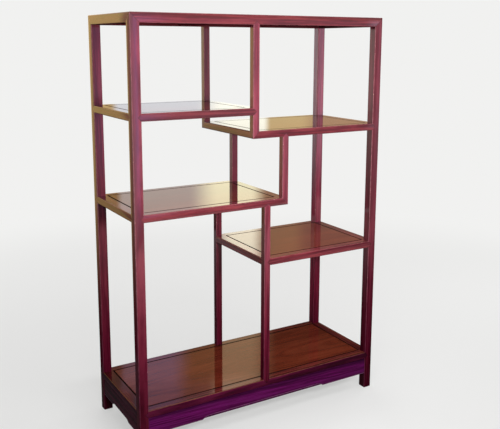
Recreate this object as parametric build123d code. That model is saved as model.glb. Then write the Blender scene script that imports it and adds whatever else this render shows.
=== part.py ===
from build123d import *
import os

# An open display cabinet in rosewood: four corner posts, a top frame, a bottom frame on four
# aprons, and four shelves at staggered heights that hang on three pairs of short dividers.
# Millimetres. X runs to the right, Y to the back, Z up. The origin is on the floor, in the
# middle of the footprint. Front and back are alike, so each back piece mirrors its front piece.

# Overall size
width = 778.0
depth = 304.0
height = 1140.0

# Sections of the members
post = 26.0  # side of a square corner post; the long rails are as deep
slim = 20.0  # side of a square divider; every shelf frame is as high
short_rail = 30.0  # width of a shelf's short rails, which run front to back

# Heights of the shelves' top faces
upper_left_top = 898.0
upper_right_top = 835.0
middle_left_top = 644.0
lower_right_top = 476.0
bottom_top = 117.0

# Left faces of the dividers
upper_divider_x = -47.0
middle_divider_x = 48.0
lower_divider_x = -9.0

# Moulding of the members
arris = 3.0  # rounding of every outer long edge
inner_arris = 2.0  # rounding of the long edges that face into the cabinet
edge_round = 0.6  # rounding beside a panel and at the foot
crown = 0.6  # how far an outer face swells

# Joints
shoulder = 6.0  # thickness of a pointed shoulder behind the face
tenon_setback = 7.0  # face to tenon
tenon_thick = 8.0
tenon_long = 12.0
rail_tenon = 6.0  # width of a rail's tenon
rail_tenon_shift = 3.5  # long rails' tenons sit this far above the centre, short ones' below
divider_tenon = 8.0  # width of a divider's tenon
corner_tenon = 8.0  # side of the square tenon inside a three-way mitre
corner_cover = 6.0  # wood between that tenon and the outer faces
fit = 0.1  # clearance on each cheek of a tenon, tongue or batten
end_fit = 0.5  # clearance beyond the end of a tenon or tongue

# Panels and battens
panel_gap = 2.0  # open line between a panel's field and its frame
field_thick = 3.0  # field above the tongue
tongue_thick = 4.0
groove_deep = 5.0
batten_wide = 24.0
batten_lift = 2.0  # underside of the frame to underside of the batten
batten_tenon_wide = 12.0
batten_tenon_long = 8.0
batten_shoulder = 2.0  # step above and below a batten's tenon
dovetail_deep = 3.0
dovetail_neck = 12.0
dovetail_wide = 16.0
batten_apart = 240.0  # between the centres of two battens under one panel

# Aprons
apron_drop = 50.0  # below the bottom frame, at the ends
apron_rise = 8.5  # how much shallower the middle is
apron_step = 24.0  # run of the curve between the two
front_apron_middle = 360.0  # straight length of the middle, long aprons
side_apron_middle = 74.0  # and short aprons
apron_thick = 12.0
apron_setback = 1.5  # behind the face of the frame
apron_crown = 1.5
apron_arris = 2.0  # rounding of the lower edge
apron_corner = 5.0  # curve where an apron meets a foot
apron_tongue = 3.0  # up into the frame and out into the posts
apron_tongue_thick = 5.0
apron_tongue_back = 3.5  # face of the apron to its tongue

# Derived places
left, right = -width / 2, width / 2
face_y = -depth / 2
inner_left, inner_right = left + post, right - post
frame_under = bottom_top - slim
apron_low = frame_under - apron_drop
apron_shallow = apron_low + apron_rise
proud = 1.0  # how far a cutting shape starts outside the wood

front_face = Plane(origin=(0, face_y, 0), x_dir=(1, 0, 0), z_dir=(0, -1, 0))


def left_face(x):
    """Plane of a face that looks to the left: its x runs to the front, its y up."""
    return Plane(origin=(x, 0, 0), x_dir=(0, -1, 0), z_dir=(-1, 0, 0))


def to_right(part):
    return mirror(part, Plane.YZ)


def to_back(part):
    return mirror(part, Plane.XZ)


def block(x0, x1, y0, y1, z0, z1):
    """Box between two corners."""
    size = (x1 - x0, y1 - y0, z1 - z0)
    return Pos((x0 + x1) / 2, (y0 + y1) / 2, (z0 + z1) / 2) * Box(*size)


def prism(points, z0, z1):
    """Solid over a polygon in XY, from z0 to z1."""
    return Pos(0, 0, z0) * extrude(make_face(Polyline(*points, close=True)), z1 - z0)


# ---------------------------------------------------------------- members and their joints
# Members and joints are drawn on a face plane: x along the face, y up, z out of the wood.


def section(wide, deep, swell, back_top, back_bottom):
    """Section of a member, drawn in YZ: face on z = 0, top edge on y = 0."""
    if swell:
        face = ThreePointArc((0, -swell), (-wide / 2, 0), (-wide, -swell))
    else:
        face = Line((0, 0), (-wide, 0))
    rest = Polyline((-wide, -swell), (-wide, -deep), (0, -deep), (0, -swell))
    shape = make_face(face + rest)
    for y, z, radius in (
        (0, -swell, arris),
        (-wide, -swell, arris),
        (0, -deep, back_top),
        (-wide, -deep, back_bottom),
    ):
        corner = shape.vertices().sort_by_distance((y, z, 0))[0]
        shape = fillet(corner, radius)
    return Plane.YZ * shape


def bar(length, wide, deep, swell=0.0, back_top=inner_arris, back_bottom=inner_arris):
    """Member along +X from the origin, its face on z = 0 and its top edge on y = 0."""
    return extrude(section(wide, deep, swell, back_top, back_bottom), length, dir=(1, 0, 0))


def point(wide, way):
    """Pointed end of a member as wide as this, from x = 0 towards +X or -X."""
    tip = [(0, -wide / 2), (way * wide / 2, 0), (0, wide / 2)]
    return prism(tip, -shoulder, proud)


def tenon(tenon_wide, shift, way, slack=0.0, end_slack=0.0):
    """Tenon from x = 0, shifted up from the member's centre line."""
    reach = way * (tenon_long + end_slack)
    return block(
        min(0, reach),
        max(0, reach),
        shift - tenon_wide / 2 - slack,
        shift + tenon_wide / 2 + slack,
        -tenon_setback - tenon_thick - slack,
        -tenon_setback + slack,
    )


def socket(wide, tenon_wide, shift, way):
    """What a pointed end and its tenon take out of the member that they enter."""
    return point(wide, way) + tenon(tenon_wide, shift, way, fit, end_fit)


def rail_socket(x, top, shift, way):
    """Socket for a shelf rail whose shoulder is at x."""
    return Pos(x, top - slim / 2, 0) * socket(slim, rail_tenon, shift, way)


def divider_socket(x, z, way):
    """Socket for a divider whose left face is at x and whose shoulder is at z."""
    turn = Rot(0, 0, 90)
    return Pos(x + slim / 2, z, 0) * turn * socket(slim, divider_tenon, 0, way)


def pointed_bar(length, deep, swell, tenon_wide, shift, start, end, **edges):
    """Slim member from x = 0 to x = length between shoulders, pointed at the chosen ends."""
    body = bar(length, slim, deep, swell, **edges)
    for wanted, x, way in ((start, 0, -1), (end, length, 1)):
        if not wanted:
            continue
        reach = bar(slim / 2, slim, deep, swell, **edges)
        reach = Pos(x if way > 0 else x - slim / 2, 0, 0) * reach
        centre = Pos(x, -slim / 2, 0)
        body += reach & (centre * point(slim, way))
        body += centre * tenon(tenon_wide, shift, way)
    return body


# ---------------------------------------------------------------- three-way mitred corners
# A corner is named by its outer tip on the front face: x, z, which way its rail runs along X
# (+1 or -1) and which way its upright runs along Z (+1 or -1).


def keep_side(part, x, z, normal):
    """The side of a 45 degree plane through a corner's tip that its normal points to."""
    plane = Plane(origin=(x, face_y, z), z_dir=normal)
    return split(part, bisect_by=plane, keep=Keep.TOP)


def corner_tenon_block(x, z, rail_way, upright_way, size, slack=0.0, end_slack=0.0):
    """Square tenon of an upright inside a corner of this size."""
    near, far = corner_cover - slack, corner_cover + corner_tenon + slack
    xs = sorted((x + rail_way * near, x + rail_way * far))
    zs = sorted((z + upright_way * (corner_cover - end_slack), z + upright_way * size))
    return block(*xs, face_y + near, face_y + far, *zs)


def corner_rail(part, x, z, rail_way, upright_way, size):
    """End of a long rail, mitred against the upright and the short rail."""
    part = keep_side(part, x, z, (rail_way, -1, 0))
    part = keep_side(part, x, z, (rail_way, 0, -upright_way))
    return part - corner_tenon_block(x, z, rail_way, upright_way, size, fit, end_fit)


def corner_upright(part, x, z, rail_way, upright_way, size):
    """End of an upright, mitred against both rails, with its tenon."""
    part = keep_side(part, x, z, (-rail_way, 0, upright_way))
    part = keep_side(part, x, z, (0, -1, upright_way))
    return part + corner_tenon_block(x, z, rail_way, upright_way, size)


def corner_short_rail(part, x, z, rail_way, upright_way, size, wide):
    """Front end of a short rail, mitred against the upright and the long rail."""
    part = keep_side(part, x, z, (0, 1, -upright_way))
    over = wide + proud
    plan = [(0, 0), (post, post), (over, post), (over, -proud), (-proud, -proud)]
    plan = [(x + rail_way * a, face_y + b) for a, b in plan]
    z0, z1 = sorted((z - upright_way * proud, z + upright_way * (size + proud)))
    part -= prism(plan, z0, z1)
    return part - corner_tenon_block(x, z, rail_way, upright_way, size, fit, end_fit)


# ---------------------------------------------------------------- panels and battens


def batten_places(x0, x1, count):
    """Centres of the battens under a panel between x0 and x1."""
    middle = (x0 + x1) / 2
    if count == 1:
        return [middle]
    return [middle - batten_apart / 2, middle + batten_apart / 2]


def panel(x0, x1, top, rail_deep, battens):
    """Floating panel in the clear opening x0 to x1, with a tongue on each side."""
    y = depth / 2 - rail_deep
    tongue = groove_deep - end_fit
    under = top - field_thick - tongue_thick
    field = block(x0 + panel_gap, x1 - panel_gap, panel_gap - y, y - panel_gap, under, top)
    field = fillet(field.faces().sort_by(Axis.Z)[-1].edges(), edge_round)
    long_way = block(x0 - tongue, x1 + tongue, -y, y, under, top - field_thick)
    short_way = block(x0, x1, -y - tongue, y + tongue, under, top - field_thick)
    part = field + long_way + short_way
    for x in battens:
        part -= Pos(x, 0, 0) * dovetail(under, y + tongue + proud, fit)
    return part


def dovetail(under, half_length, slack=0.0):
    """Dovetail along Y, standing on a plane at this height."""
    neck = dovetail_neck / 2 + slack
    flare = dovetail_wide / 2 + slack
    deep = dovetail_deep + slack
    shape = make_face(Polyline((-neck, 0), (-flare, deep), (flare, deep), (neck, 0), close=True))
    return Pos(0, half_length, under) * (Plane.XZ * extrude(shape, 2 * half_length))


def batten(x, top, rail_deep, frame_high):
    """Batten dovetailed into the underside of a panel and tenoned into both long rails."""
    y = depth / 2 - rail_deep
    under = top - field_thick - tongue_thick
    low = top - frame_high + batten_lift
    half = batten_wide / 2
    part = block(x - half, x + half, -y, y, low, under)
    part += Pos(x, 0, 0) * dovetail(under, y)
    return part + batten_tenon(x, y, low, under, 0.0, 0.0)


def batten_tenon(x, y, low, under, slack, end_slack):
    """Both tenons of a batten, as one bar between the rails and into them."""
    half = batten_tenon_wide / 2 + slack
    reach = y + batten_tenon_long + end_slack
    z0, z1 = low + batten_shoulder - slack, under - batten_shoulder + slack
    return block(x - half, x + half, -reach, reach, z0, z1)


def cut_batten_mortises(rail, battens, top, rail_deep, frame_high):
    y = depth / 2 - rail_deep
    under = top - field_thick - tongue_thick
    low = top - frame_high + batten_lift
    for x in battens:
        rail -= batten_tenon(x, y, low, under, fit, end_fit)
    return rail


def panel_groove(x0, x1, y0, y1, top):
    """Groove that a panel's tongue runs in."""
    z1 = top - field_thick + fit
    z0 = top - field_thick - tongue_thick - fit
    return block(x0, x1, y0, y1, z0, z1)


# ---------------------------------------------------------------- long and short rails


def long_rail(x0, x1, top, start, end, battens, dividers=()):
    """Front rail of a shelf. Each end is "point", into an upright, or "corner"."""
    length = x1 - x0
    body = pointed_bar(
        length, post, crown, rail_tenon, rail_tenon_shift, start == "point", end == "point",
        back_top=edge_round,
    )
    rail = front_face * Pos(x0, top, 0) * body
    rail -= panel_groove(x0, x1, face_y + post - groove_deep, face_y + post + proud, top)
    if start == "corner":
        rail = corner_rail(rail, x0, top - slim, 1, 1, slim)
    if end == "corner":
        rail = corner_rail(rail, x1, top - slim, -1, 1, slim)
    for x, z, way in dividers:
        rail -= front_face * divider_socket(x, z, way)
    return cut_batten_mortises(rail, battens, top, post, slim)


def short_rail_at_posts(top):
    """Left rail of a shelf between the front and the back corner post."""
    reach = depth / 2 - post
    body = pointed_bar(
        2 * reach, short_rail, crown, rail_tenon, -rail_tenon_shift, True, True,
        back_top=edge_round,
    )
    rail = left_face(left) * Pos(-reach, top, 0) * body
    inside = left + short_rail
    return rail - panel_groove(inside - groove_deep, inside + proud, -reach, reach, top)


def short_rail_at_dividers(x, top):
    """Left rail of a shelf between a front and a back divider that it is flush with."""
    reach = depth / 2 - slim
    body = pointed_bar(
        2 * reach, short_rail, 0.0, rail_tenon, -rail_tenon_shift, True, True,
        back_top=edge_round,
    )
    rail = left_face(x) * Pos(-reach, top, 0) * body
    clear = depth / 2 - post
    inside = x + short_rail
    low, high = top - slim - proud, top + proud
    behind = block(x + slim, inside + proud, clear, reach + proud, low, high)
    rail = rail - behind - to_back(behind)
    return rail - panel_groove(inside - groove_deep, inside + proud, -clear, clear, top)


def short_rail_at_corners(x, top):
    """Left rail of a shelf that hangs on dividers by mitred corners."""
    body = bar(depth, slim, short_rail, 0.0, back_top=edge_round)
    rail = left_face(x) * Pos(-depth / 2, top, 0) * body
    clear = depth / 2 - post
    inside = x + short_rail
    rail -= panel_groove(inside - groove_deep, inside + proud, -clear, clear, top)
    for _ in range(2):
        rail = to_back(corner_short_rail(rail, x, top - slim, 1, 1, slim, short_rail))
    return rail


# ---------------------------------------------------------------- top frame


def top_long_rail(battens):
    """Front rail of the top frame."""
    body = bar(width, post, post, crown, back_top=edge_round)
    rail = front_face * Pos(left, height, 0) * body
    inside = face_y + post
    rail -= panel_groove(left, right, inside - groove_deep, inside + proud, height)
    rail = corner_rail(rail, left, height, 1, -1, post)
    rail = corner_rail(rail, right, height, -1, -1, post)
    rail -= front_face * divider_socket(upper_divider_x, height - post, 1)
    return cut_batten_mortises(rail, battens, height, post, post)


def top_short_rail():
    """Left rail of the top frame."""
    body = bar(depth, post, post, crown, back_top=edge_round)
    rail = left_face(left) * Pos(-depth / 2, height, 0) * body
    inside = left + post
    rail -= panel_groove(inside - groove_deep, inside + proud, -depth / 2, depth / 2, height)
    for _ in range(2):
        rail = to_back(corner_short_rail(rail, left, height, 1, -1, post, post))
    return rail


# ---------------------------------------------------------------- uprights


def post_section():
    """Corner post in plan: outer corner at the origin, both outer faces swelling."""
    outer, far = crown, post
    edges = ThreePointArc((outer, outer), (far / 2, 0), (far, outer))
    edges += ThreePointArc((outer, outer), (0, far / 2), (outer, far))
    edges += Polyline((far, outer), (far, far), (outer, far))
    shape = make_face(edges)
    for x, y, radius in (
        (outer, outer, arris),
        (far, outer, arris),
        (outer, far, arris),
        (far, far, inner_arris),
    ):
        corner = shape.vertices().sort_by_distance((x, y, 0))[0]
        shape = fillet(corner, radius)
    return shape


def corner_post(levels):
    """Front left corner post, with the sockets of the shelves at these levels."""
    part = Pos(left, face_y, 0) * extrude(post_section(), height)
    part = fillet(part.faces().sort_by(Axis.Z)[0].edges(), edge_round)
    part = corner_upright(part, left, height, 1, -1, post)
    for top in levels:
        part -= front_face * rail_socket(inner_left, top, rail_tenon_shift, -1)
        part -= left_face(left) * rail_socket(depth / 2 - post, top, -rail_tenon_shift, 1)
    part -= front_face * apron_end_slot(inner_left)
    part -= left_face(left) * mirror(apron_end_slot(post - depth / 2), Plane.YZ)
    return part


def divider(x, z0, z1, start, end):
    """Front divider between two heights, pointed at the chosen ends."""
    body = pointed_bar(z1 - z0, slim, crown, divider_tenon, 0, start, end)
    return front_face * Pos(x, z0, 0) * Rot(0, 0, 90) * body


def upper_divider():
    """From the top frame down to the left corner of the upper right shelf."""
    x, z0, z1 = upper_divider_x, upper_right_top - slim, height - post
    part = corner_upright(divider(x, z0, z1, False, True), x, z0, 1, 1, slim)
    part -= front_face * rail_socket(x, upper_left_top, rail_tenon_shift, 1)
    reach = depth / 2 - slim
    side = left_face(-x - slim) * rail_socket(reach, upper_left_top, -rail_tenon_shift, 1)
    return part - to_right(side)


def middle_divider():
    """From the upper right shelf down to the right corner of the middle left shelf."""
    x, z0, z1 = middle_divider_x, middle_left_top - slim, upper_right_top - slim
    return corner_upright(divider(x, z0, z1, False, True), x + slim, z0, -1, 1, slim)


def lower_divider():
    """From the middle left shelf down to the bottom frame."""
    x = lower_divider_x
    part = divider(x, bottom_top, middle_left_top - slim, True, True)
    part -= front_face * rail_socket(x + slim, lower_right_top, rail_tenon_shift, -1)
    reach = depth / 2 - slim
    return part - left_face(x) * rail_socket(reach, lower_right_top, -rail_tenon_shift, 1)


# ---------------------------------------------------------------- aprons


def apron_outline(half, middle):
    """Face of an apron, from -half to +half: shallow in the middle, deep at the ends."""
    flat, step = middle / 2, middle / 2 + apron_step
    right_half = (
        Line((0, apron_shallow), (flat, apron_shallow))
        + TangentArc((flat, apron_shallow), (step, apron_low), tangent=(1, 0))
        + Polyline((step, apron_low), (half, apron_low), (half, frame_under))
        + Polyline((half, frame_under), (0, frame_under), (0, apron_shallow))
    )
    shape = make_face(right_half)
    return shape + mirror(shape, Plane.YZ)


def apron_spandrel(half):
    """Small curved piece between an apron's right end and the foot."""
    centre = (half - apron_corner, apron_low - apron_corner)
    corner = Polyline((centre[0], apron_low), (half, apron_low), (half, centre[1]))
    shape = make_face(CenterArc(centre, apron_corner, 0, 90) + corner)
    front = -apron_setback - apron_crown - apron_arris
    back = -apron_setback - apron_thick
    return Pos(0, 0, back) * extrude(shape, front - back)


def apron(half, middle):
    """Apron on a face plane, with a tongue along its top and at both ends."""
    back = -apron_setback - apron_thick
    tall = apron_drop + apron_corner
    slab = bar(2 * half, tall, apron_thick, apron_crown, edge_round, edge_round)
    slab = Pos(-half, frame_under, -apron_setback) * slab
    part = slab & (Pos(0, 0, back) * extrude(apron_outline(half, middle), apron_thick))
    face = part.faces().sort_by(Axis.Z)[-1]
    lower = [edge for edge in face.edges() if edge.bounding_box().max.Y < apron_shallow + fit]
    part = fillet(lower, apron_arris)
    spandrel = apron_spandrel(half)
    part += spandrel + to_right(spandrel)
    front = -apron_setback - apron_tongue_back
    tongue_z = (front - apron_tongue_thick, front)
    part += block(-half, half, frame_under - proud, frame_under + apron_tongue, *tongue_z)
    low, high = apron_low + apron_tongue, frame_under - apron_tongue
    reach = half + apron_tongue
    return part + block(-reach, reach, low, high, *tongue_z)


def apron_top_groove(half):
    """Groove under the bottom frame for an apron's top tongue."""
    back = -apron_setback - apron_tongue_back
    return block(
        -half, half, frame_under - proud, frame_under + apron_tongue + end_fit,
        back - apron_tongue_thick - fit, back + fit,
    )


def apron_end_slot(x):
    """Slot in a post's inner side for the tongue at an apron's left end."""
    back = -apron_setback - apron_tongue_back
    low, high = apron_low + apron_tongue, frame_under - apron_tongue
    return block(
        x - apron_tongue - end_fit, x + proud, low - fit, high + fit,
        back - apron_tongue_thick - fit, back + fit,
    )


# ---------------------------------------------------------------- the whole cabinet

pieces = {}


def add_pair(name, part):
    """A front piece and its mirrored back piece."""
    pieces[name.format("front")] = part
    pieces[name.format("back")] = to_back(part)


def add_panel(name, x0, x1, top, rail_deep, frame_high, battens):
    pieces[f"{name}_panel"] = panel(x0, x1, top, rail_deep, battens)
    for number, x in enumerate(battens, 1):
        label = f"{name}_batten" if len(battens) == 1 else f"{name}_batten_{number}"
        pieces[label] = batten(x, top, rail_deep, frame_high)


def add_uprights():
    add_pair("corner_post_{}_left", corner_post((upper_left_top, middle_left_top, bottom_top)))
    right_levels = (upper_right_top, lower_right_top, bottom_top)
    add_pair("corner_post_{}_right", to_right(corner_post(right_levels)))
    add_pair("upper_divider_{}", upper_divider())
    add_pair("middle_divider_{}", middle_divider())
    add_pair("lower_divider_{}", lower_divider())


def add_top():
    battens = batten_places(inner_left, inner_right, 2)
    add_pair("top_{}_rail", top_long_rail(battens))
    pieces["top_left_rail"] = top_short_rail()
    pieces["top_right_rail"] = to_right(top_short_rail())
    add_panel("top", inner_left, inner_right, height, post, post, battens)


def add_shelf(name, ends, kinds, short_rails, top, dividers=(), batten_count=1):
    """Shelf between two upright faces, with its two short rails already made."""
    (x0, x1), (start, end) = ends, kinds
    opening = short_rails[0][0], short_rails[1][0]
    battens = batten_places(*opening, batten_count)
    add_pair(name + "_{}_rail", long_rail(x0, x1, top, start, end, battens, dividers))
    pieces[f"{name}_left_rail"] = short_rails[0][1]
    pieces[f"{name}_right_rail"] = short_rails[1][1]
    add_panel(name, *opening, top, post, slim, battens)


def add_shelves():
    opening_left, opening_right = left + short_rail, right - short_rail
    upper_x, middle_x, lower_x = upper_divider_x, middle_divider_x, lower_divider_x

    inner_right_rail = to_right(short_rail_at_dividers(-upper_x - slim, upper_left_top))
    add_shelf(
        "upper_left_shelf", (inner_left, upper_x), ("point", "point"),
        ((opening_left, short_rail_at_posts(upper_left_top)),
         (upper_x + slim - short_rail, inner_right_rail)),
        upper_left_top,
    )
    add_shelf(
        "upper_right_shelf", (upper_x, inner_right), ("corner", "point"),
        ((upper_x + short_rail, short_rail_at_corners(upper_x, upper_right_top)),
         (opening_right, to_right(short_rail_at_posts(upper_right_top)))),
        upper_right_top, [(middle_x, upper_right_top - slim, 1)],
    )
    corner_right_rail = to_right(short_rail_at_corners(-middle_x - slim, middle_left_top))
    add_shelf(
        "middle_left_shelf", (inner_left, middle_x + slim), ("point", "corner"),
        ((opening_left, short_rail_at_posts(middle_left_top)),
         (middle_x + slim - short_rail, corner_right_rail)),
        middle_left_top, [(lower_x, middle_left_top - slim, 1)],
    )
    add_shelf(
        "lower_right_shelf", (lower_x + slim, inner_right), ("point", "point"),
        ((lower_x + short_rail, short_rail_at_dividers(lower_x, lower_right_top)),
         (opening_right, to_right(short_rail_at_posts(lower_right_top)))),
        lower_right_top,
    )
    add_shelf(
        "bottom_shelf", (inner_left, inner_right), ("point", "point"),
        ((opening_left, short_rail_at_posts(bottom_top)),
         (opening_right, to_right(short_rail_at_posts(bottom_top)))),
        bottom_top, [(lower_x, bottom_top, -1)], 2,
    )


def add_aprons():
    half_front, half_side = width / 2 - post, depth / 2 - post
    add_pair("{}_apron", front_face * apron(half_front, front_apron_middle))
    groove = front_face * apron_top_groove(half_front)
    for name, cut in (("front", groove), ("back", to_back(groove))):
        pieces[f"bottom_shelf_{name}_rail"] -= cut
    side = left_face(left) * apron(half_side, side_apron_middle)
    pieces["left_apron"], pieces["right_apron"] = side, to_right(side)
    groove = left_face(left) * apron_top_groove(half_side)
    for name, cut in (("left", groove), ("right", to_right(groove))):
        pieces[f"bottom_shelf_{name}_rail"] -= cut


def main():
    add_uprights()
    add_top()
    add_shelves()
    add_aprons()
    os.makedirs("parts", exist_ok=True)
    for name, piece in pieces.items():
        export_step(piece, f"parts/{name}.step")


main()
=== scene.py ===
# An open display cabinet in glossy rosewood. The frame holds every piece of it. This script gives each
# piece its wood, and adds the floor, the lamps, what the polish reflects and the camera.
# Metres and linear colours. X runs to the right, Y to the back, Z up.

import math
import random

import bpy
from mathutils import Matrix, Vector


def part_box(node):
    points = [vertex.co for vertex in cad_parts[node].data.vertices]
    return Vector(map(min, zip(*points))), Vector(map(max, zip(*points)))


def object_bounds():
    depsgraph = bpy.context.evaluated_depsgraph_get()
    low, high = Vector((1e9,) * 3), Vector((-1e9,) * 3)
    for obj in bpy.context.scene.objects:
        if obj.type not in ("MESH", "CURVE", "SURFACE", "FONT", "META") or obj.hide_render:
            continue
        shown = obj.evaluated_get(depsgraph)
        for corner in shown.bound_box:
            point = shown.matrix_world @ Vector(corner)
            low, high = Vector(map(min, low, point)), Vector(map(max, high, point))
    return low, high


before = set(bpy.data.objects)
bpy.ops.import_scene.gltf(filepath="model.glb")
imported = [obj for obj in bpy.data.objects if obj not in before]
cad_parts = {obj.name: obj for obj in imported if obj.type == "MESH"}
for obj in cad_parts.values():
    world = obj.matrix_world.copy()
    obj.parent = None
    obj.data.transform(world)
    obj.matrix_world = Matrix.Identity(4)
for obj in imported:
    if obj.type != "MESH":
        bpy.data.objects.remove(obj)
cad_bounds = [list(corner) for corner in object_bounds()]

MM = 0.001
WHITE = (1.0, 1.0, 1.0, 1.0)

# ---------------------------------------------------------------- node helpers


class Graph:
    """Builds nodes in a tree. An argument is a socket, a number or a tuple."""

    def __init__(self, tree):
        self.tree = tree
        tree.nodes.clear()

    def add(self, kind, inputs=(), **settings):
        node = self.tree.nodes.new(kind)
        for key, value in settings.items():
            setattr(node, key, value)
        for key, value in dict(inputs).items():
            self.put(node.inputs[key], value)
        return node

    def put(self, socket, value):
        if isinstance(value, bpy.types.NodeSocket):
            self.tree.links.new(value, socket)
        else:
            socket.default_value = value

    def math(self, operation, *values, clamp=False):
        node = self.add("ShaderNodeMath", operation=operation, use_clamp=clamp)
        for socket, value in zip(node.inputs, values):
            self.put(socket, value)
        return node.outputs[0]

    def vector(self, operation, *values):
        node = self.add("ShaderNodeVectorMath", operation=operation)
        for socket, value in zip(node.inputs, values):
            self.put(socket, value)
        return node.outputs["Value" if operation in ("LENGTH", "DISTANCE", "DOT_PRODUCT") else "Vector"]

    def scale(self, vector, factor):
        node = self.add("ShaderNodeVectorMath", {"Vector": vector, "Scale": factor}, operation="SCALE")
        return node.outputs["Vector"]

    def split(self, vector):
        return self.add("ShaderNodeSeparateXYZ", {"Vector": vector}).outputs

    def join(self, x=0.0, y=0.0, z=0.0):
        return self.add("ShaderNodeCombineXYZ", {"X": x, "Y": y, "Z": z}).outputs[0]

    def noise(self, vector, detail=2.0, roughness=0.5, scale=1.0):
        inputs = {"Vector": vector, "Scale": scale, "Detail": detail, "Roughness": roughness}
        return self.add("ShaderNodeTexNoise", inputs).outputs["Fac"]

    def ramp(self, value, low, high, to_low=0.0, to_high=1.0, smooth=True):
        kind = "SMOOTHSTEP" if smooth else "LINEAR"
        inputs = {"Value": value, "From Min": low, "From Max": high, "To Min": to_low, "To Max": to_high}
        return self.add("ShaderNodeMapRange", inputs, interpolation_type=kind).outputs["Result"]

    def mix(self, factor, a, b):
        """Colour between a and b."""
        node = self.add("ShaderNodeMix", data_type="RGBA")
        for socket, value in zip((node.inputs[0], node.inputs[6], node.inputs[7]), (factor, a, b)):
            self.put(socket, value)
        return node.outputs[2]

    def blend(self, factor, a, b):
        """Number between a and b."""
        return self.math("ADD", a, self.math("MULTIPLY", factor, self.math("SUBTRACT", b, a)))

    def lessen(self, value, mask, share):
        """The value, less this share of it where the mask is 1."""
        return self.math("MULTIPLY", value, self.math("SUBTRACT", 1.0, self.math("MULTIPLY", mask, share)))

    def surface(self, shader):
        self.add("ShaderNodeOutputMaterial", {"Surface": shader.outputs[0]})


def new_group(name, inputs, outputs):
    group = bpy.data.node_groups.new(name, "ShaderNodeTree")
    for label, kind, value in inputs:
        socket = group.interface.new_socket(label, in_out="INPUT", socket_type=kind)
        if value is not None:
            socket.default_value = value
    for label, kind in outputs:
        group.interface.new_socket(label, in_out="OUTPUT", socket_type=kind)
    graph = Graph(group)
    source = graph.add("NodeGroupInput").outputs
    return group, graph, source


def new_material(name):
    material = bpy.data.materials.new(name)
    material.use_nodes = True
    return material, Graph(material.node_tree)


FLOAT, VECTOR, COLOR = "NodeSocketFloat", "NodeSocketVector", "NodeSocketColor"

# ---------------------------------------------------------------- the wood's figure

# How fast each part of the figure changes, across the grain and along it, in cycles per metre
WANDER = (5.0, 1.6)
BANDS = (95.0, 1.6)
LINES = (300.0, 7.0)
MOTTLE = (22.0, 7.0)
PORES = (1500.0, 60.0)
WANDER_REACH = 0.016  # between the farthest strays of a growth ring to either side
BAND_SHARE = 0.42  # of the bands in the streaks; the lines have the rest
STREAK_RANGE = (0.34, 0.66)  # from the darkest streak to the lightest, as the noise gives them
MOTTLE_RANGE, MOTTLE_SHADES = (0.3, 0.7), (0.90, 1.08)
PORE_RANGE = (0.60, 0.72)  # from no pore to a full one
PORE_SHADE = 0.40  # how much darker a pore is
PANEL_FIGURE, MEMBER_FIGURE = 0.65, 1.45  # how strong the streaks are


def stretched(g, place, pace):
    """A place in the cycles of a pattern whose grain runs along Z."""
    across, along = pace
    return g.vector("MULTIPLY", place, (across, across, along))


def ringed(g, radius, z, pace):
    """The same for a pattern of rings round Z."""
    across, along = pace
    return g.join(g.math("MULTIPLY", radius, across), 0.0, g.math("MULTIPLY", z, along))


def make_grain():
    """Rosewood with its grain along Z and the piece's middle at the origin."""
    group, g, source = new_group(
        "rosewood_grain",
        [
            ("Place", VECTOR, None),
            ("Seed", VECTOR, None),
            ("Pith", VECTOR, None),
            ("Lean", FLOAT, 0.02),
            ("Figure", FLOAT, 1.0),
            ("Dark", COLOR, None),
            ("Middle", COLOR, None),
            ("Light", COLOR, None),
        ],
        [("Colour", COLOR), ("Pores", FLOAT)],
    )
    place = g.vector("ADD", source["Place"], source["Seed"])
    wander = g.math("SUBTRACT", g.noise(stretched(g, place, WANDER)), 0.5)
    wander = g.math("MULTIPLY", wander, WANDER_REACH)
    x, y, z = g.split(g.vector("SUBTRACT", source["Place"], source["Pith"]))
    x = g.math("ADD", g.math("ADD", x, g.math("MULTIPLY", z, source["Lean"])), wander)
    radius = g.vector("LENGTH", g.join(x, y))
    bands = g.noise(ringed(g, radius, z, BANDS), 3.0, 0.55)
    lines = g.noise(ringed(g, radius, z, LINES), 3.0, 0.6)
    streaks = g.math("ADD", g.math("MULTIPLY", bands, BAND_SHARE), g.math("MULTIPLY", lines, 1 - BAND_SHARE))
    streaks = g.math("MULTIPLY", g.math("SUBTRACT", streaks, 0.5), source["Figure"])
    tone = g.ramp(g.math("ADD", 0.5, streaks), *STREAK_RANGE)
    colour = g.mix(g.ramp(tone, 0.0, 0.55, smooth=False), source["Dark"], source["Middle"])
    colour = g.mix(g.ramp(tone, 0.5, 1.0, smooth=False), colour, source["Light"])

    mottle = g.ramp(g.noise(stretched(g, place, MOTTLE)), *MOTTLE_RANGE, *MOTTLE_SHADES)
    pores = g.ramp(g.noise(stretched(g, place, PORES), 1.0), *PORE_RANGE)
    colour = g.scale(colour, g.lessen(mottle, pores, PORE_SHADE))
    g.add("NodeGroupOutput", {"Colour": colour, "Pores": pores})
    return group


grain = make_grain()

# ---------------------------------------------------------------- lines on the pieces


def make_seam():
    """Distance from a place to a straight line between two points, or the one given if that is less."""
    group, g, source = new_group(
        "seam",
        [("Place", VECTOR, None), ("From", VECTOR, None), ("To", VECTOR, None), ("Less", FLOAT, 1.0)],
        [("Distance", FLOAT)],
    )
    along = g.vector("SUBTRACT", source["To"], source["From"])
    away = g.vector("SUBTRACT", source["Place"], source["From"])
    reach, length = g.vector("DOT_PRODUCT", away, along), g.vector("DOT_PRODUCT", along, along)
    share = g.math("DIVIDE", reach, length, clamp=True)
    distance = g.vector("DISTANCE", away, g.scale(along, share))
    g.add("NodeGroupOutput", {"Distance": g.math("MINIMUM", distance, source["Less"])})
    return group


seam = make_seam()

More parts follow.
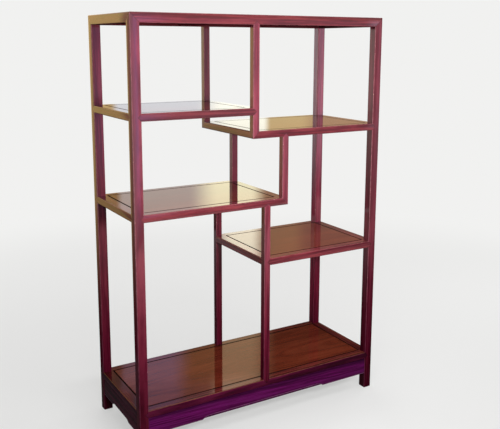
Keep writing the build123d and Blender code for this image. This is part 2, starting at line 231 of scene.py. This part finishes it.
# Which uprights the rails of a frame point into, which frames a divider's ends point into, and which
# uprights and frames meet in a three-way mitre. The front is the back's mirror image
RAIL_POINTS = (
    ("upper_left_shelf", "corner_post_back_left"),
    ("upper_left_shelf", "upper_divider_back"),
    ("upper_right_shelf", "corner_post_back_right"),
    ("middle_left_shelf", "corner_post_back_left"),
    ("lower_right_shelf", "lower_divider_back"),
    ("lower_right_shelf", "corner_post_back_right"),
    ("bottom_shelf", "corner_post_back_left"),
    ("bottom_shelf", "corner_post_back_right"),
)
DIVIDER_POINTS = (
    ("top", "upper_divider_back"),
    ("upper_right_shelf", "middle_divider_back"),
    ("middle_left_shelf", "lower_divider_back"),
    ("bottom_shelf", "lower_divider_back"),
)
MITRES = (
    ("top", "corner_post_back_left"),
    ("top", "corner_post_back_right"),
    ("upper_right_shelf", "upper_divider_back"),
    ("middle_left_shelf", "middle_divider_back"),
)


def point_lines(shoulder, reach, across):
    """The two lines of a pointed end, from the middle of its shoulder."""
    shoulder, reach, across = Vector(shoulder), Vector(reach), Vector(across)
    tip = shoulder + reach
    return [(shoulder + across, tip), (shoulder - across, tip)]


def meeting(frame_name, upright):
    """Where a frame's back rail meets an upright: the lowest and highest corner of the rail, the
    upright's X on the frame's side and on the other, its inner Y, and whether it comes from below."""
    low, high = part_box(frame_name + "_back_rail")
    (left, inner, bottom), (right, _, top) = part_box(upright)
    near, far = (right, left) if low[0] + high[0] > left + right else (left, right)
    return low, high, near, far, inner, low[2] + high[2] > bottom + top


def joint_lines():
    """Where the members meet, on the outer faces of the cabinet and its dividers."""
    face = cad_bounds[1][1]
    lines = []
    for frame_name, upright in RAIL_POINTS:
        low, high, near, far, inner, _ = meeting(frame_name, upright)
        z, half = (low[2] + high[2]) / 2, (high[2] - low[2]) / 2
        up = (0, 0, half)
        lines += point_lines((near, face, z), (math.copysign(half, far - near), 0, 0), up)
        lines += point_lines((far, inner, z), (0, half, 0), up)
    for frame_name, upright in DIVIDER_POINTS:
        low, high, near, far, _, from_below = meeting(frame_name, upright)
        half = abs(far - near) / 2
        shoulder = ((near + far) / 2, face, low[2] if from_below else high[2])
        lines += point_lines(shoulder, (0, 0, half if from_below else -half), (half, 0, 0))
    for frame_name, upright in MITRES:
        low, high, near, far, inner, from_below = meeting(frame_name, upright)
        tip, root = (high[2], low[2]) if from_below else (low[2], high[2])
        inward = math.copysign(face - low[1], near - far)
        lines.append(((far, face, tip), (near, face, root)))
        lines.append(((far, face, tip), (far, inner, root)))
        lines.append(((far, face, high[2]), (far + inward, low[1], high[2])))
    lines = [(Vector(start), Vector(end)) for start, end in lines]
    to_front = Vector((1, -1, 1))
    return lines + [(start * to_front, end * to_front) for start, end in lines]


GAP_INSET = 5.5 * MM  # from the edge of a panel's tongue to the middle of the open line round its field


def gap_lines(panel):
    """The middle of the open line round a panel's field."""
    low, high = (Vector(corner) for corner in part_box(panel))
    x0, y0, _ = low + Vector((GAP_INSET, GAP_INSET, 0))
    x1, y1, z = high - Vector((GAP_INSET, GAP_INSET, 0))
    corners = [Vector((x, y, z)) for x, y in ((x0, y0), (x1, y0), (x1, y1), (x0, y1))]
    return list(zip(corners, corners[1:] + corners[:1]))


# The lower edge of an apron: straight in the middle, then an arc down to the straight ends
LONG_MIDDLE, SHORT_MIDDLE = 360 * MM, 74 * MM
ARC_RUN, ARC_DROP = 24 * MM, 8.5 * MM
APRON_END = 48.2 * MM  # height of the lines at the ends, just above the edge
APRON_TONGUE = 3 * MM  # how far an apron reaches into its posts
APRON_SWELL = 1 * MM  # how far its swelling face lies back at the lower edge


def apron_edges(node):
    """Lines just above an apron's lower edge, on its face."""
    low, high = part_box(node)
    is_long = node in ("front_apron", "back_apron")
    along, across = (0, 1) if is_long else (1, 0)
    face = max(low[across], high[across], key=abs)
    face -= math.copysign(APRON_SWELL, face)
    flat, shallow = (LONG_MIDDLE if is_long else SHORT_MIDDLE) / 2, APRON_END + ARC_DROP
    radius = (ARC_RUN**2 + ARC_DROP**2) / (2 * ARC_DROP)
    runs = [ARC_RUN * part for part in (0, 0.5, 0.75, 1)]
    arc = [(flat + run, shallow - radius + math.sqrt(radius**2 - run**2)) for run in runs]
    outline = [(0.0, shallow), *arc, (high[along] - APRON_TONGUE, APRON_END)]

    def point(reach, height):
        place = Vector((0.0, 0.0, height))
        place[along], place[across] = reach, face
        return place

    pairs = list(zip(outline, outline[1:]))
    return [(point(way * a, az), point(way * b, bz)) for (a, az), (b, bz) in pairs for way in (-1, 1)]


JOINT_LINES = joint_lines()
GAP_LINES = [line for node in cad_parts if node.endswith("panel") for line in gap_lines(node)]
BOX_MARGIN = 1.5 * MM  # how far outside a piece's box a line may lie and still be drawn on it

# How far from a line its mark is full, and how far from it the mark ends
JOINT_MARK = (0.25 * MM, 0.9 * MM)
GAP_MARK = (2.2 * MM, 3.0 * MM)
APRON_MARK = (0.7 * MM, 2.2 * MM)


def lines_on(lines, low, high):
    """Those of the lines that lie on the box of a piece."""

    def inside(point):
        return all(low[i] - BOX_MARGIN <= point[i] <= high[i] + BOX_MARGIN for i in range(3))

    return [(start, end) for start, end in lines if inside(start) and inside(end)]


def line_mask(g, place, lines, inner, outer):
    """1 within the inner distance of any of the lines, 0 beyond the outer."""
    distance = 1.0
    for start, end in lines:
        inputs = {"Place": place, "From": start, "To": end, "Less": distance}
        distance = g.add("ShaderNodeGroup", inputs, node_tree=seam).outputs["Distance"]
    return g.ramp(distance, outer, inner) if lines else 0.0


# ---------------------------------------------------------------- lacquered rosewood

# Darkest, usual and lightest tone of the wood
POST_TONES = ((0.105, 0.0055, 0.0190), (0.195, 0.0130, 0.0370), (0.280, 0.0320, 0.0600))
RAIL_TONES = ((0.080, 0.0050, 0.0110), (0.168, 0.0130, 0.0240), (0.250, 0.0330, 0.0410))
BASE_TONES = ((0.080, 0.0050, 0.0250), (0.168, 0.0110, 0.0520), (0.250, 0.0320, 0.0800))
# The long aprons' violet is partly their wood and partly a painted reflection of a blue carpet
APRON_TONES_AND_REFLECTION = ((0.145, 0.0065, 0.1000), (0.260, 0.0150, 0.1900), (0.350, 0.0400, 0.2700))
PANEL_TONES = ((0.110, 0.0140, 0.0065), (0.172, 0.0270, 0.0110), (0.225, 0.0430, 0.0190))

# Colours that time adds to it, and painted light: the rubbed arrises are wear and a painted highlight, the
# lighter tone for higher up is a painted sheen, and the gap's dark is a painted shade
# Rubbed arrises: wear and a painted highlight along the edges
RUBBED_AND_HIGHLIGHT = (0.56, 0.220, 0.250, 1.0)
# An apron's lower edge: wear and a strong painted highlight
APRON_RUBBED_AND_HIGHLIGHT = (1.0, 0.72, 0.78, 1.0)
CHIPPED = (0.62, 0.40, 0.32, 1.0)
# A painted sheen, mixed into the frame higher up
PAINTED_SHEEN = (0.27, 0.115, 0.118, 1.0)
JOINT_DARK = (0.012, 0.004, 0.004, 1.0)
# A painted shade in the open gap round a panel
PAINTED_GAP_SHADOW = (0.010, 0.003, 0.003, 1.0)

# A painted shade with a painted reflection of a dark blue carpet: what the colour of a frame piece is
# multiplied by at the floor, on its upright faces and on its top. It follows the photograph, where much of
# it comes from a dark blue carpet and not from the wood
FOOT_SHADE_AND_REFLECTION = (0.46, 0.24, 0.44, 1.0)
FOOT_TOP_SHADE_AND_REFLECTION = (0.60, 1.00, 0.24, 1.0)

# Pieces that are lighter or darker than the rest in the photograph, partly by their wood and partly as
# painted light and shade
WOOD_AND_LIGHT_LEVELS = {
    "corner_post_back_right": 1.6,
    "corner_post_front_right": 0.74,
    "top_front_rail": 0.94,
    "upper_divider_back": 0.65,
    "upper_divider_front": 1.10,
    "lower_divider_front": 1.15,
    "upper_left_shelf_front_rail": 0.74,
    "upper_right_shelf_front_rail": 0.86,
    "upper_right_shelf_left_rail": 1.4,
    "lower_right_shelf_front_rail": 1.18,
    "lower_right_shelf_left_rail": 1.6,
    "bottom_shelf_panel": 0.74,
}

# Pieces whose front shines less than the rest in the photograph
POLISH = {
    "corner_post_back_left": 0.35,
    "corner_post_front_right": 0.2,
    "upper_right_shelf_front_rail": 0.5,
}

# Where the sides that face into the top frame look: they are unpolished and get a painted shade
RAW_SHADED_SIDES = {
    "top_front_rail": (0.0, 1.0, 0.0),
    "top_back_rail": (0.0, -1.0, 0.0),
    "top_left_rail": (1.0, 0.0, 0.0),
    "top_right_rail": (-1.0, 0.0, 0.0),
}

# Turn of the grain from Z to an axis
GRAIN_TURN = {"x": (0.0, -math.pi / 2, 0.0), "y": (math.pi / 2, 0.0, 0.0), "z": (0.0, 0.0, 0.0)}

# Heights over which the colour, with its painted light and shade, and the coat change
SHEEN_RISE = (0.20, 0.62)  # a painted sheen grows on it higher up
FOOT_SHADE_RISE = (0.07, 0.64)  # the painted shade is less and less dark from the floor
COAT_RISE = (0.25, 0.75)  # the coat grows on upright faces
APRON_COVER = (0.092, 0.086)  # the frame covers the aprons above

# A painted highlight on a long apron's swell, lightest in the middle: the heights below and above it, and
# the shades there
SWELL_HIGHLIGHT_BELOW, SWELL_HIGHLIGHT_ABOVE = (0.056, 0.070, 0.75, 1.0), (0.078, 0.094, 1.15, 0.5)

# Parts of a normal along an axis between which a face comes to look that way
LOOKS_UP, LOOKS_DOWN = (0.5, 0.9), (-0.55, -0.85)
LOOKS_IN, LOOKS_FRONT = (0.55, 0.85), (-0.5, -0.9)
LOOKS_BELOW = (-0.10, -0.45)  # seldom waxed
OFF_AXIS = (0.985, 0.86)  # the largest part, from a flat face to a rounded arris

# How strong the marks are
JOINT_SHADE, GAP_SHADE, RAW_PAINTED_SHADE, CHIP_SHARE = 0.75, 0.92, 0.65, 0.8
CHIP_DULL, GAP_DULL = 0.7, 0.9
EDGE_SCALE, EDGE_RANGE, EDGE_LEAST = 60.0, (0.30, 0.62), 0.45
CHIP_SCALE, CHIP_RANGE = 210.0, (0.72, 0.75)

ROUGH, ROUGHER_PORE, ROUGHER_RAW = 0.34, 0.25, 0.4
COAT_RAW, COAT_LOW, COAT_BELOW = 0.02, 0.06, 0.1  # unpolished, upright near the floor, looking below
COAT_ROUGHNESS, COAT_IOR = 0.05, 1.5
PORE_DEEP, JOINT_DEEP = 0.04 * MM, 0.15 * MM  # in the wood
WAVE_HIGH, JOINT_SUNK = 0.06 * MM, 0.10 * MM  # in the coat
WAVES = 26.0  # per metre


def plain_sawn(chance):
    """Pith well outside a slim member."""
    angle = chance.uniform(0.0, math.tau)
    reach = chance.uniform(0.05, 0.12)
    return reach * math.cos(angle), reach * math.sin(angle)


def flat_sawn(chance):
    """Pith below a panel whose grain runs along X, so its face shows a flame."""
    return -chance.uniform(0.09, 0.14), chance.uniform(-0.06, 0.06)


def is_upright(node):
    return "post" in node or "divider" in node


def runs_back(node):
    """Whether a piece runs from front to back."""
    return "batten" in node or node.endswith(("left_rail", "right_rail", "left_apron", "right_apron"))


def tones_of(node):
    if node.endswith("panel"):
        return PANEL_TONES
    if is_upright(node):
        return POST_TONES
    if node in ("front_apron", "back_apron"):
        return APRON_TONES_AND_REFLECTION
    return BASE_TONES if "apron" in node or node.startswith("bottom_shelf") else RAIL_TONES


def board(g, node, place, centre):
    """Colour and pores of the board that a piece is cut from."""
    is_panel = node.endswith("panel")
    pith = flat_sawn if is_panel else plain_sawn
    axis = "z" if is_upright(node) else "y" if runs_back(node) else "x"
    local = g.vector("SUBTRACT", place, centre)
    turned = g.add("ShaderNodeMapping", {"Vector": local, "Rotation": GRAIN_TURN[axis]})
    chance = random.Random("rosewood_" + node)
    # A random tone for the piece, times its level, which is partly painted light and shade
    level = chance.uniform(0.95, 1.05) * WOOD_AND_LIGHT_LEVELS.get(node, 1.0)
    inputs = {
        "Place": turned.outputs[0],
        "Seed": tuple(chance.uniform(-9.0, 9.0) for _ in range(3)),
        "Pith": (*pith(chance), 0.0),
        "Lean": chance.uniform(-0.03, 0.03),
        "Figure": PANEL_FIGURE if is_panel else MEMBER_FIGURE,
    }
    for label, tone in zip(("Dark", "Middle", "Light"), tones_of(node)):
        inputs[label] = (*(part * level for part in tone), 1.0)
    wood = g.add("ShaderNodeGroup", inputs, node_tree=grain)
    return wood.outputs["Colour"], wood.outputs["Pores"]


def worn_and_highlit_edges(g, node, place, normal, colour):
    """The colour with its rounded arrises lighter, as wear and a painted highlight, and chipped, and the
    mask of the chips.
    """
    facing = g.split(g.vector("ABSOLUTE", normal))
    flatness = g.math("MAXIMUM", g.math("MAXIMUM", facing["X"], facing["Y"]), facing["Z"])
    arris = g.ramp(flatness, *OFF_AXIS)
    edge_share, rubbed_highlight = (0.5, RUBBED_AND_HIGHLIGHT) if is_upright(node) else (0.35, RUBBED_AND_HIGHLIGHT)
    if "apron" in node:
        # An apron's arrises and lower edge get a strong light line of wear and painted highlight; its top
        # lies under the frame, where nothing rubs it and none is painted
        edge_share, rubbed_highlight = 0.95, APRON_RUBBED_AND_HIGHLIGHT
        arris = g.math("MULTIPLY", arris, g.ramp(g.split(place)["Z"], *APRON_COVER))
        arris = g.math("MAXIMUM", arris, line_mask(g, place, apron_edges(node), *APRON_MARK))
    uneven = g.ramp(g.noise(place, 3.0, 0.6, EDGE_SCALE), *EDGE_RANGE, EDGE_LEAST, 1.0)
    worn_highlit = g.math("MULTIPLY", arris, uneven)
    colour = g.mix(g.math("MULTIPLY", worn_highlit, edge_share), colour, rubbed_highlight)
    chips = g.math("MULTIPLY", arris, g.ramp(g.noise(place, 1.0, 0.5, CHIP_SCALE), *CHIP_RANGE))
    return g.mix(g.math("MULTIPLY", chips, CHIP_SHARE), colour, CHIPPED), chips


def painted_light_by_height(g, node, colour, rise, over):
    """The frame's colour with a painted sheen higher up, a painted shade and carpet reflection near the
    floor, and a painted highlight on a long apron's swell.
    """
    if not node.endswith("panel"):
        sheen_share = 0.2 if is_upright(node) else 0.11
        # A painted sheen that lightens the frame higher up
        colour = g.mix(g.ramp(rise, *SHEEN_RISE, 0.0, sheen_share), colour, PAINTED_SHEEN)
        # A painted shade near the floor, tinted by a painted reflection of a dark blue carpet
        shade = g.mix(g.ramp(rise, *FOOT_SHADE_RISE), g.mix(over, FOOT_SHADE_AND_REFLECTION, FOOT_TOP_SHADE_AND_REFLECTION), WHITE)
        colour = g.vector("MULTIPLY", colour, shade)
    if tones_of(node) is APRON_TONES_AND_REFLECTION:
        # A painted highlight across the middle of a long apron's swell
        swell_highlight = g.math("MULTIPLY", g.ramp(rise, *SWELL_HIGHLIGHT_BELOW), g.ramp(rise, *SWELL_HIGHLIGHT_ABOVE))
        colour = g.scale(colour, swell_highlight)
    return colour


def unpolished_and_shaded(g, node, normal, up):
    """1 where a face looks down, or into the top frame: those were never polished, and their colour gets a
    painted shade.
    """
    raw_and_shaded = g.ramp(up, *LOOKS_DOWN)
    if node in RAW_SHADED_SIDES:
        inward = g.vector("DOT_PRODUCT", normal, RAW_SHADED_SIDES[node])
        raw_and_shaded = g.math("MAXIMUM", raw_and_shaded, g.ramp(inward, *LOOKS_IN))
    return raw_and_shaded


def polish(g, node, normal, up, rise, over, raw_and_shaded):
    """Weight of the coat: full on top faces, less on upright faces near the floor, little below."""
    upright = g.ramp(rise, *COAT_RISE, COAT_LOW, 1.0)
    coat = g.blend(raw_and_shaded, g.blend(over, upright, 1.0), COAT_RAW)
    coat = g.math("MULTIPLY", coat, g.ramp(up, *LOOKS_BELOW, 1.0, COAT_BELOW))
    if node in POLISH:
        front = g.ramp(g.split(normal)["Y"], *LOOKS_FRONT, 1.0, POLISH[node])
        coat = g.math("MULTIPLY", coat, front)
    return coat


def rosewood(node):
    """Lacquered rosewood for one piece."""
    low, high = (Vector(corner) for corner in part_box(node))
    material, g = new_material("rosewood_" + node)
    place = g.add("ShaderNodeTexCoord").outputs["Object"]
    normal = g.add("ShaderNodeNewGeometry").outputs["Normal"]
    rise, up = g.split(place)["Z"], g.split(normal)["Z"]
    over = g.ramp(up, *LOOKS_UP)

    colour, pores = board(g, node, place, (low + high) / 2)
    colour, chips = worn_and_highlit_edges(g, node, place, normal, colour)
    # Joints show as fine dark lines, and a painted shade darkens the gap round a panel
    joint = line_mask(g, place, lines_on(JOINT_LINES, low, high), *JOINT_MARK)
    gap = line_mask(g, place, lines_on(GAP_LINES, low, high), *GAP_MARK)
    colour = g.mix(g.math("MULTIPLY", joint, JOINT_SHADE), colour, JOINT_DARK)
    colour = g.mix(g.math("MULTIPLY", gap, GAP_SHADE), colour, PAINTED_GAP_SHADOW)
    colour = painted_light_by_height(g, node, colour, rise, over)
    raw_and_shaded = unpolished_and_shaded(g, node, normal, up)
    # Faces that look down or into the top frame get a painted shade
    colour = g.scale(colour, g.lessen(1.0, raw_and_shaded, RAW_PAINTED_SHADE))

    rough = g.math("ADD", ROUGH, g.math("MULTIPLY", pores, ROUGHER_PORE))
    rough = g.math("ADD", rough, g.math("MULTIPLY", raw_and_shaded, ROUGHER_RAW))
    coat = polish(g, node, normal, up, rise, over, raw_and_shaded)
    coat = g.lessen(g.lessen(coat, chips, CHIP_DULL), gap, GAP_DULL)
    height = g.math("MULTIPLY", pores, -PORE_DEEP)
    height = g.math("SUBTRACT", height, g.math("MULTIPLY", joint, JOINT_DEEP))
    waves = g.math("MULTIPLY", g.noise(place, 1.0, 0.5, WAVES), WAVE_HIGH)
    waves = g.math("SUBTRACT", waves, g.math("MULTIPLY", joint, JOINT_SUNK))
    shader = g.add(
        "ShaderNodeBsdfPrincipled",
        {
            "Base Color": colour,
            "Roughness": rough,
            "Specular IOR Level": 0.0,
            "Coat Weight": coat,
            "Coat Roughness": COAT_ROUGHNESS,
            "Coat IOR": COAT_IOR,
            "Normal": g.add("ShaderNodeBump", {"Height": height, "Distance": 1.0}).outputs[0],
            "Coat Normal": g.add("ShaderNodeBump", {"Height": waves, "Distance": 1.0}).outputs[0],
        },
    )
    g.surface(shader)
    return material


for node, piece in sorted(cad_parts.items()):
    piece.data.materials[0] = None
    piece.material_slots[0].material = rosewood(node)

# ---------------------------------------------------------------- what the camera and the polish see

scene = bpy.context.scene
scene.view_settings.view_transform = "Standard"

PALE = (0.88, 0.88, 0.87, 1.0)  # the backdrop
AMBIENT = (0.13, 0.13, 0.13, 1.0)  # the world's light on the object
FLOOR = (0.85, 0.85, 0.845, 1.0)
FLOOR_BOUNCE = (0.14, 0.14, 0.14, 1.0)  # the floor's colour for the light that it throws on the object
FLOOR_FADE = (0.2, 2.6)  # from where to where the floor turns into the backdrop
FLOOR_GLOW = 0.55  # the backdrop's share in the floor under the cabinet

# Over the backdrop the polish sees silver screens with gilt ones to their left and right. Each row is for
# one height: the heights over which it sets in, its first colour, and the colours that follow it to the
# right, each with the stretch over which it sets in. A colour whose stretch runs backwards lies to the left.
# Heights and stretches are parts of a ray's direction: how far it rises, and how far it passes SCREEN_EDGE.
# The colours were worked out from colours measured at places on the photograph's shelf tops, and
# tuned until those places matched. They stand for the photograph's room, and the cabinet needs none of
# them: with SCREENS = () and without the cards, the polish sees the plain backdrop
SCREENS = (
    (
        (0.06, 0.08),
        (1.03, 1.05, 1.10),
        (
            (-0.190, -0.202, (0.67, 0.45, 0.19)),
            (-0.09, -0.04, (1.75, 1.75, 1.50)),
            (0.005, 0.016, (0.93, 0.70, 0.35)),
            (0.055, 0.085, (0.64, 0.42, 0.25)),
        ),
    ),
    (
        (0.13, 0.19),
        (1.05, 0.93, 0.84),
        (
            (-0.185, -0.194, (0.56, 0.35, 0.135)),
            (-0.098, -0.055, (2.35, 2.2, 1.50)),
            (-0.012, 0.012, (0.62, 0.40, 0.23)),
        ),
    ),
    (
        (0.225, 0.25),
        (1.05, 0.90, 0.84),
        (
            (-0.062, -0.035, (3.0, 2.85, 2.2)),
            (-0.012, 0.012, (0.62, 0.40, 0.23)),
            (0.045, 0.070, (0.38, 0.23, 0.18)),
        ),
    ),
    (
        (0.30, 0.37),
        (0.25, 0.16, 0.11),
        (
            (-0.182, -0.174, (0.62, 0.46, 0.60)),
            (-0.165, -0.140, (0.64, 0.49, 0.73)),
            (-0.118, -0.086, (0.47, 0.28, 0.125)),
            (-0.060, -0.045, (1.22, 0.89, 0.50)),
            (-0.012, 0.025, (0.05, 0.030, 0.020)),
        ),
    ),
    (
        (0.430, 0.457),
        (0.25, 0.16, 0.11),
        (
            (-0.168, -0.150, (0.24, 0.30, 0.50)),
            (-0.112, -0.090, (0.15, 0.20, 0.20)),
            (-0.068, -0.045, (1.60, 1.35, 0.92)),
            (-0.012, 0.025, (0.05, 0.030, 0.020)),
        ),
    ),
)
SCREEN_EDGE = math.radians(31.5)  # bearing of the line between the screens, from Y towards X
SILVER_END = -0.03  # what sets in left of this is on the silver screens, which stand at the back only
BEHIND = (0.0, 0.4)  # how far towards the back they set in

# Cards stand out of the camera's sight for the upright faces. Their colours run from left to right, each
# with the stretch of X over which it sets in. They were found in the same way, at places on the posts,
# dividers and rails
NEAR = ((0.95, 0.52, 0.30), (-0.602, -0.575, (1.86, 1.28, 0.48)), (-0.46, -0.40, (2.1, 1.5, 0.62)))
FAR = ((1.4, 1.2, 1.1), (-1.25, -1.22, (1.9, 1.35, 0.60)), (-0.90, -0.86, (2.3, 2.2, 2.3)))
FACING = ((1.25, 1.2, 2.4), (0.35, 0.62, (0.75, 0.55, 0.70)), (1.86, 1.93, (2.3, 1.9, 2.5)))
CARD_FADE = 0.25  # from the edges of a card to its full strength


def seen(g):
    """1 for rays from the camera, from the polish and through glass, and 1 for the camera's alone."""
    rays = g.add("ShaderNodeLightPath").outputs
    polish_ray = g.math("MAXIMUM", rays["Is Glossy Ray"], rays["Is Transmission Ray"])
    return g.math("MAXIMUM", rays["Is Camera Ray"], polish_ray), rays["Is Camera Ray"]


def make_world():
    world = bpy.data.worlds.new("studio")
    scene.world = world
    world.use_nodes = True
    g = Graph(world.node_tree)
    direction = g.add("ShaderNodeTexCoord").outputs["Generated"]
    _, depth, height = g.split(direction)
    behind = g.ramp(depth, *BEHIND)
    across = g.vector("DOT_PRODUCT", direction, (math.cos(SCREEN_EDGE), -math.sin(SCREEN_EDGE), 0.0))
    backdrop = PALE
    for heights, left_colour, stretches in SCREENS:
        screen = (*left_colour, 1.0)
        for start, end, colour in stretches:
            share = g.ramp(across, start, end)
            if start < SILVER_END:
                share = g.math("MULTIPLY", share, behind)
            screen = g.mix(share, screen, (*colour, 1.0))
        backdrop = g.mix(g.ramp(height, *heights), backdrop, screen)
    any_seen, camera_ray = seen(g)
    backdrop = g.mix(camera_ray, backdrop, PALE)
    sky = g.add("ShaderNodeBackground", {"Color": g.mix(any_seen, AMBIENT, backdrop), "Strength": 1.0})
    g.add("ShaderNodeOutputWorld", {"Surface": sky.outputs[0]})


def new_object(name, corners, material):
    """Object of one flat face."""
    mesh = bpy.data.meshes.new(name)
    mesh.from_pydata(corners, [], [tuple(range(len(corners)))])
    mesh.materials.append(material)
    made = bpy.data.objects.new(name, mesh)
    scene.collection.objects.link(made)
    return made


def make_floor(radius=60.0, sides=96):
    """Disc that turns into the backdrop away from the cabinet."""
    material, g = new_material("floor")
    away = g.vector("LENGTH", g.add("ShaderNodeTexCoord").outputs["Object"])
    any_seen, _ = seen(g)
    near = g.add("ShaderNodeBsdfDiffuse", {"Color": g.mix(any_seen, FLOOR_BOUNCE, FLOOR)})
    far = g.add("ShaderNodeEmission", {"Color": PALE, "Strength": any_seen})
    share = g.ramp(away, *FLOOR_FADE, FLOOR_GLOW, 1.0)
    g.surface(g.add("ShaderNodeMixShader", {0: share, 1: near.outputs[0], 2: far.outputs[0]}))
    angles = [math.tau * i / sides for i in range(sides)]
    ring = [(radius * math.cos(angle), radius * math.sin(angle), 0.0) for angle in angles]
    floor = new_object("floor", ring, material)


def make_card(name, x0, x1, y, height, full, colours):
    """Upright card for the polish alone: clear at its edges, dark at its foot, full above a height."""
    material, g = new_material(name)
    across, _, rise = g.split(g.add("ShaderNodeTexCoord").outputs["Object"])
    colour = (*colours[0], 1.0)
    for start, end, following in colours[1:]:
        colour = g.mix(g.ramp(across, start, end), colour, (*following, 1.0))
    glow = g.add("ShaderNodeEmission", {"Color": colour, "Strength": g.ramp(rise, 0.0, full, smooth=False)})
    solid = g.math("MINIMUM", g.ramp(across, x0, x0 + CARD_FADE), g.ramp(across, x1, x1 - CARD_FADE))
    solid = g.math("MULTIPLY", solid, g.ramp(rise, height, height - CARD_FADE))
    clear = g.add("ShaderNodeBsdfTransparent")
    g.surface(g.add("ShaderNodeMixShader", {0: solid, 1: clear.outputs[0], 2: glow.outputs[0]}))
    corners = [(x0, y, 0.0), (x1, y, 0.0), (x1, y, height), (x0, y, height)]
    card = new_object(name, corners, material)
    card.visible_camera = card.visible_diffuse = card.visible_shadow = False


make_world()
make_floor()
make_card("card_near", x0=-0.95, x1=-0.2, y=0.42, height=1.4, full=1.15, colours=NEAR)
make_card("card_far", x0=-1.9, x1=-0.45, y=1.8, height=1.6, full=0.85, colours=FAR)
make_card("card_front", x0=0.05, x1=2.6, y=-2.0, height=1.45, full=0.5, colours=FACING)

# ---------------------------------------------------------------- lamps and camera


def add_softbox(name, place, target, size, power):
    """Soft lamp that neither the camera nor the polish sees."""
    light = bpy.data.lights.new(name, "AREA")
    light.shape, light.size, light.size_y, light.energy = "RECTANGLE", *size, power
    lamp = bpy.data.objects.new(name, light)
    lamp.location = place
    lamp.rotation_mode = "QUATERNION"
    lamp.rotation_quaternion = (Vector(target) - Vector(place)).to_track_quat("-Z", "Y")
    lamp.visible_camera = lamp.visible_glossy = False
    scene.collection.objects.link(lamp)


add_softbox("key", (-0.1, -0.75, 1.95), (0.0, 0.0, 0.95), size=(1.3, 0.6), power=9.5)
add_softbox("strip", (-0.1, -1.1, 0.86), (-0.1, 0.0, 0.86), size=(1.4, 0.2), power=14.0)
add_softbox("back", (0.3, 1.5, 1.3), (0.0, 0.1, 0.7), size=(1.6, 0.9), power=13.0)
add_softbox("right", (1.7, 0.2, 1.1), (0.3, 0.0, 0.6), size=(0.9, 1.2), power=9.0)
add_softbox("left", (-1.7, 0.5, 1.3), (-0.3, 0.1, 0.8), size=(0.9, 1.0), power=3.0)

# The camera of the photograph, fitted to the cabinet's corners
CAMERA_PLACE = (-1.034664, -1.794018, 1.068408)
CAMERA_TURN = (79.7268, -0.1579, -30.7392)  # degrees
SENSOR_WIDTH, LENS = 36.0, 52.138  # millimetres
LENS_SHIFT = -0.0812  # share of the sensor's width

camera_data = bpy.data.cameras.new("camera")
camera_data.sensor_width = SENSOR_WIDTH
camera_data.lens = LENS
camera_data.shift_y = LENS_SHIFT
camera = bpy.data.objects.new("camera", camera_data)
camera.location = CAMERA_PLACE
camera.rotation_euler = [math.radians(turn) for turn in CAMERA_TURN]
scene.collection.objects.link(camera)
scene.camera = camera
